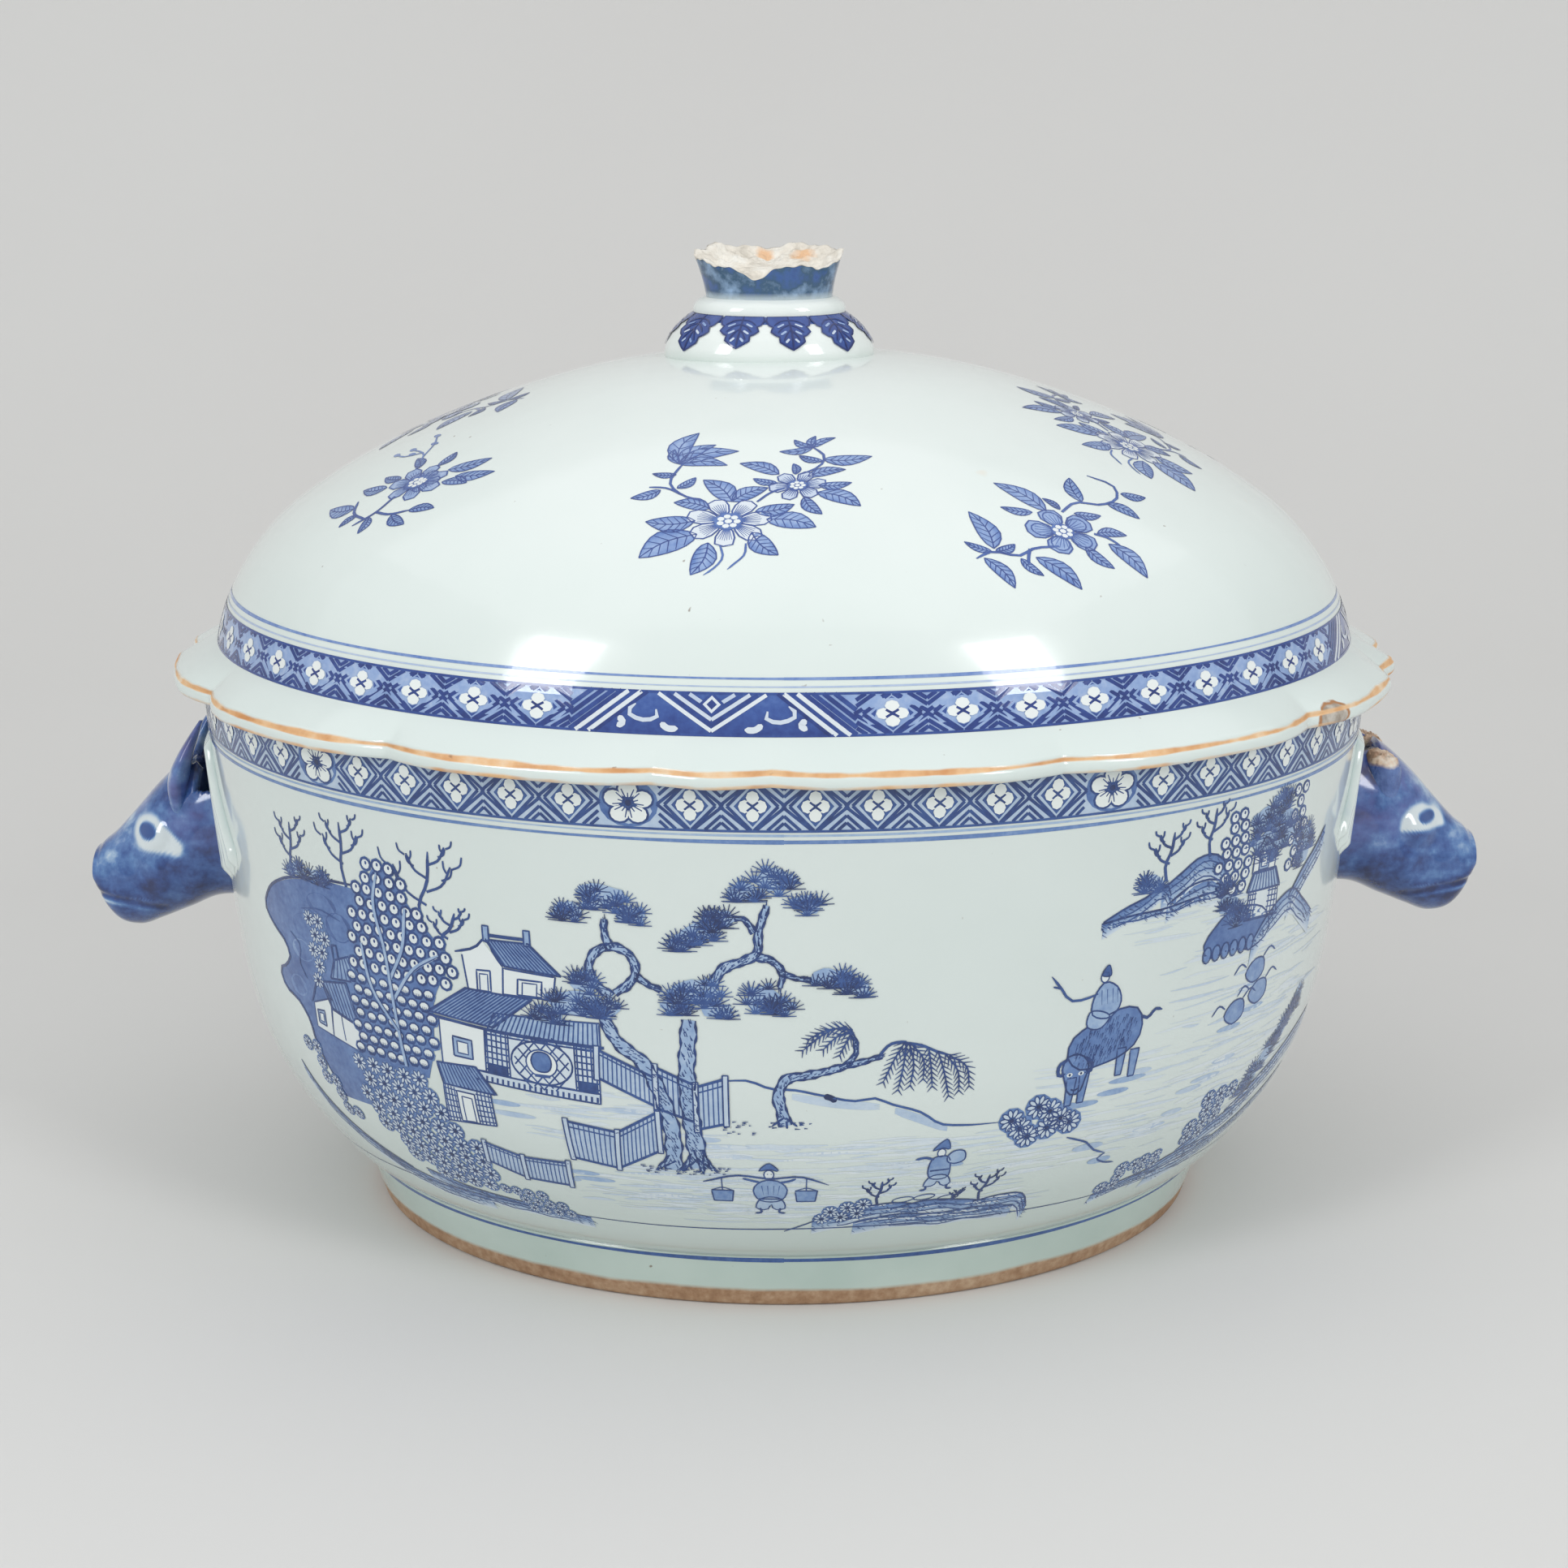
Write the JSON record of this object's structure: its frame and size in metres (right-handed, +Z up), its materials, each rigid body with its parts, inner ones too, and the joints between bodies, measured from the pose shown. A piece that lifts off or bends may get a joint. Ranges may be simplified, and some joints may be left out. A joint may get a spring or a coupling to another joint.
{
  "type": "soup tureen with cover",
  "caption": "Oval footed soup tureen with a domed lift-off cover, lobed brim, broken bud knob and hollow boar-head handles.",
  "frame": {"origin": "on the table, under the middle of the bowl", "axes": "+Z up, +X along the length through the right hand head, -Y towards the painted front"},
  "size_m": [0.3864, 0.272, 0.2618],
  "materials": {
    "bowl_glaze": "bluish white glaze over blue painting",
    "cover_glaze": "bluish white glaze over blue painting, bare brown edge",
    "foot_glaze": "thick greenish glaze, bare brown foot edge",
    "head_glaze": "mottled cobalt wash under gloss glaze",
    "knob_glaze": "blue painted leaves and bud, broken top",
    "bare_body": "unglazed fired porcelain body",
    "broken_body": "old break, stained cream and brown"
  },
  "bodies": {
    "tureen": {"bowl": "bowl_glaze", "foot_ring": "foot_glaze", "left_handle_panel": "bowl_glaze", "right_handle_panel": "bowl_glaze", "left_boar_head": "head_glaze", "right_boar_head": "head_glaze", "left_front_ear": "head_glaze", "left_back_ear": "head_glaze", "right_front_broken_ear": "broken_body", "right_back_broken_ear": "broken_body"},
    "cover": {"lid_dome": "cover_glaze", "lid_flange": "bare_body", "finial_collar": "knob_glaze", "finial_bead": "cover_glaze", "finial_bud": "knob_glaze"}
  },
  "joints": [
    {"name": "cover_lift", "type": "slide", "parent": "tureen", "child": "cover", "axis": [0, 0, 1], "range_m": [0, 0.12]}
  ]
}
